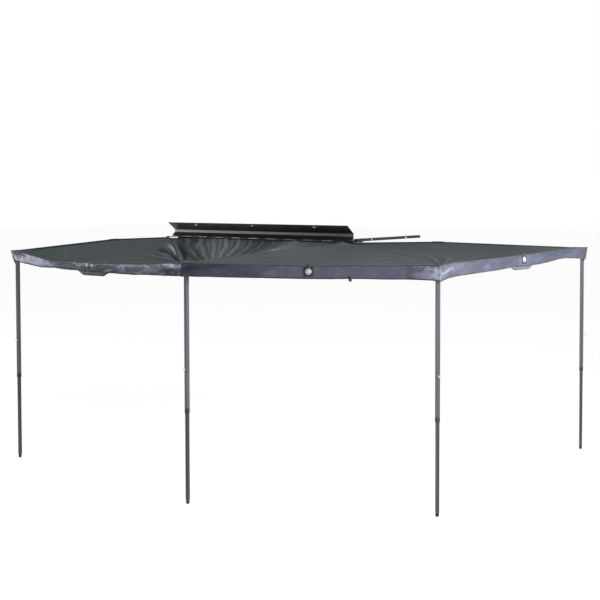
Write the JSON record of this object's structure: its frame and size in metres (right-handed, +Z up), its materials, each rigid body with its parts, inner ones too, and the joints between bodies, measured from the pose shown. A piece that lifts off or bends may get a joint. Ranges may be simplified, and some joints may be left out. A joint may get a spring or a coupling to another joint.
{
  "type": "vehicle side awning",
  "caption": "Fan-shaped vehicle side awning: hard folding case, swinging arms, telescopic square legs and a dark canopy with a hanging valance.",
  "frame": {"origin": "middle of the underside of the middle mounting bracket's foot, where the awning sits on its rack", "axes": "+X along the case towards the vehicle's front, +Y away from the vehicle, +Z up"},
  "size_m": [4.1239, 3.5269, 2.1108],
  "materials": {
    "case_black": "satin black powder coat",
    "bracket_black": "satin black powder coat",
    "arm_black": "black powder coat",
    "leg_grey": "dark grey anodised",
    "moulded_black": "moulded",
    "bright_steel": "plain bright",
    "canopy_grey": "coated woven cloth"
  },
  "bodies": {
    "root": {"case_base": "case_black", "hub_bracket": "bracket_black", "front_bracket": "bracket_black", "hub_pin": "bright_steel", "outer_hub_pin": "bright_steel", "front_pin": "bright_steel", "hinge_rod": "bright_steel", "mount_bracket_rear": "bracket_black", "mount_bracket_middle": "bracket_black", "mount_bracket_front": "bracket_black", "bracket_bolt_rear": "bright_steel", "bracket_bolt_middle": "bright_steel", "bracket_bolt_front": "bright_steel", "rear_bar": "bracket_black", "rear_bar_bolt": "bright_steel", "rear_bar_foot_bolt": "bright_steel", "canopy_case_panel": "canopy_grey"},
    "lid": {"lid_shell": "case_black", "lid_catch_rear": "moulded_black", "lid_catch_middle": "moulded_black", "lid_catch_front": "moulded_black"},
    "arm_1": {"arm_1_inner": "arm_black", "arm_1_knuckle": "arm_black", "arm_1_outer": "arm_black", "arm_1_end_cap": "moulded_black", "arm_1_leg_pin": "bright_steel", "canopy_front_panel": "canopy_grey"},
    "leg_1": {"leg_1_upper_tube": "leg_grey"},
    "leg_1_lower": {"leg_1_lower_tube": "leg_grey", "leg_1_foot": "moulded_black"},
    "lock_1": {"leg_1_lock_plunger": "bright_steel"},
    "arm_2": {"arm_2_inner": "arm_black", "arm_2_knuckle": "arm_black", "arm_2_outer": "arm_black", "arm_2_end_cap": "moulded_black", "arm_2_leg_pin": "bright_steel", "canopy_side_panel": "canopy_grey"},
    "leg_2": {"leg_2_upper_tube": "leg_grey"},
    "leg_2_lower": {"leg_2_lower_tube": "leg_grey", "leg_2_foot": "moulded_black"},
    "lock_2": {"leg_2_lock_plunger": "bright_steel"},
    "arm_3": {"arm_3_inner": "arm_black", "arm_3_knuckle": "arm_black", "arm_3_outer": "arm_black", "arm_3_end_cap": "moulded_black", "arm_3_leg_pin": "bright_steel", "canopy_rear_panel": "canopy_grey"},
    "leg_3": {"leg_3_upper_tube": "leg_grey"},
    "leg_3_lower": {"leg_3_lower_tube": "leg_grey", "leg_3_foot": "moulded_black"},
    "lock_3": {"leg_3_lock_plunger": "bright_steel"},
    "arm_4": {"arm_4_inner": "arm_black", "arm_4_knuckle": "arm_black", "arm_4_outer": "arm_black", "arm_4_end_cap": "moulded_black", "arm_4_leg_pin": "bright_steel"},
    "leg_4": {"leg_4_upper_tube": "leg_grey"},
    "leg_4_lower": {"leg_4_lower_tube": "leg_grey", "leg_4_foot": "moulded_black"},
    "lock_4": {"leg_4_lock_plunger": "bright_steel"}
  },
  "joints": [
    {"name": "lid_hinge", "type": "hinge", "parent": "root", "child": "lid", "pos_m": [0, 0.1433, 0.113], "axis": [1, 0, 0], "range_deg": [-72, 0]},
    {"name": "arm_1_swing", "type": "hinge", "parent": "root", "child": "arm_1", "pos_m": [1.19, 0.1748, 0.086], "axis": [0, 0, -1], "range_deg": [-86.5, 0], "deforming": ["canopy_front_panel"]},
    {"name": "leg_1_fold", "type": "hinge", "parent": "arm_1", "child": "leg_1", "pos_m": [1.0679, 2.17107, 0.0315], "axis": [-0.9981, -0.061, 0], "range_deg": [0, 91.5]},
    {"name": "leg_1_extend", "type": "slide", "parent": "leg_1", "child": "leg_1_lower", "axis": [0, 0, 1], "range_m": [0, 0.705]},
    {"name": "leg_1_lock_pull", "type": "slide", "parent": "leg_1", "child": "lock_1", "axis": [-0.061, 0.9981, 0], "range_m": [0, 0.006], "stiffness_N_per_m": 300},
    {"name": "arm_2_swing", "type": "hinge", "parent": "root", "child": "arm_2", "pos_m": [-1.185, 0.0928, 0.053], "axis": [0, 0, 1], "range_deg": [-87.5, 0], "deforming": ["canopy_case_panel", "canopy_side_panel", "canopy_rear_panel"]},
    {"name": "leg_2_fold", "type": "hinge", "parent": "arm_2", "child": "leg_2", "pos_m": [-1.09405, 2.17582, -0.0015], "axis": [-0.999, 0.0436, 0], "range_deg": [0, 91.5]},
    {"name": "leg_2_extend", "type": "slide", "parent": "leg_2", "child": "leg_2_lower", "axis": [0, 0, 1], "range_m": [0, 0.67]},
    {"name": "leg_2_lock_pull", "type": "slide", "parent": "leg_2", "child": "lock_2", "axis": [0.0436, 0.999, 0], "range_m": [0, 0.006], "stiffness_N_per_m": 300},
    {"name": "arm_3_swing", "type": "hinge", "parent": "root", "child": "arm_3", "pos_m": [-1.221, 0.1338, 0.053], "axis": [0, 0, 1], "range_deg": [-144.2, 0]},
    {"name": "leg_3_fold", "type": "hinge", "parent": "arm_3", "child": "leg_3", "pos_m": [-2.76932, 1.25048, -0.0015], "axis": [-0.585, -0.8111, 0], "range_deg": [0, 91.5]},
    {"name": "leg_3_extend", "type": "slide", "parent": "leg_3", "child": "leg_3_lower", "axis": [0, 0, 1], "range_m": [0, 0.67]},
    {"name": "leg_3_lock_pull", "type": "slide", "parent": "leg_3", "child": "lock_3", "axis": [-0.8111, 0.585, 0], "range_m": [0, 0.006], "stiffness_N_per_m": 300},
    {"name": "arm_4_swing", "type": "hinge", "parent": "root", "child": "arm_4", "pos_m": [-1.185, 0.0928, 0.086], "axis": [0, 0, 1], "range_deg": [-218.9, 0]},
    {"name": "leg_4_fold", "type": "hinge", "parent": "arm_4", "child": "leg_4", "pos_m": [-2.85822, -1.25732, 0.0315], "axis": [0.628, -0.7782, 0], "range_deg": [0, 91.5]},
    {"name": "leg_4_extend", "type": "slide", "parent": "leg_4", "child": "leg_4_lower", "axis": [0, 0, 1], "range_m": [0, 0.705]},
    {"name": "leg_4_lock_pull", "type": "slide", "parent": "leg_4", "child": "lock_4", "axis": [-0.7782, -0.628, 0], "range_m": [0, 0.006], "stiffness_N_per_m": 300}
  ],
  "couplings": [
    {"joint": "arm_3_swing", "follows": "arm_2_swing", "ratio": 1.648},
    {"joint": "arm_4_swing", "follows": "arm_2_swing", "ratio": 2.5017}
  ]
}
